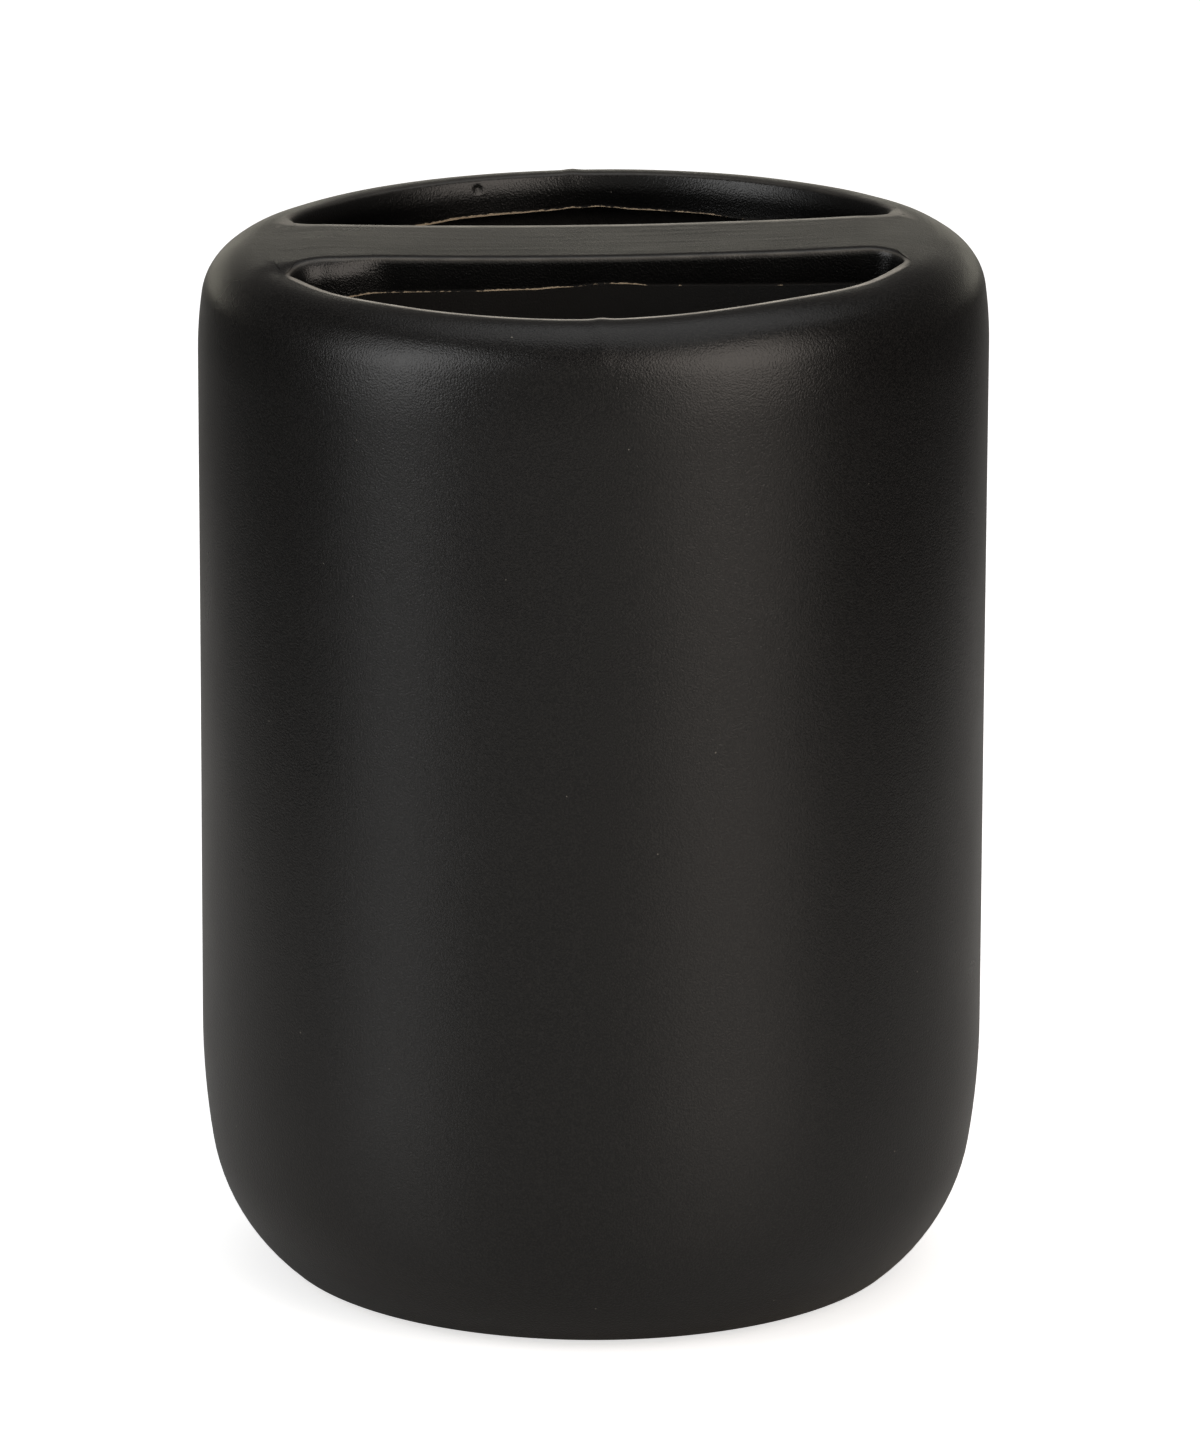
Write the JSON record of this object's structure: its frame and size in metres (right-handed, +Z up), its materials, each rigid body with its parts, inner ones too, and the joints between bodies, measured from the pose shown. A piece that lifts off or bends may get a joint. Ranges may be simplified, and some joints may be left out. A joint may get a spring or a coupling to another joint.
{
  "type": "toothbrush cup",
  "caption": "Straight-sided ceramic toothbrush tumbler, rounded at heel and shoulder, with a bridge across its mouth between half-moon slots, on small silicone bumpers.",
  "frame": {"origin": "on the table under the middle of the cup, in the plane of the bumpers' flat bottoms", "axes": "+Z up the cup's axis, X along the bridge, -Y towards the front of the cup"},
  "size_m": [0.08, 0.08, 0.1075],
  "materials": {
    "glaze": "satin",
    "silicone": "satin"
  },
  "bodies": {
    "root": {"cup_body": "glaze", "bumper_1": "silicone", "bumper_2": "silicone", "bumper_3": "silicone", "bumper_4": "silicone"}
  },
  "joints": []
}
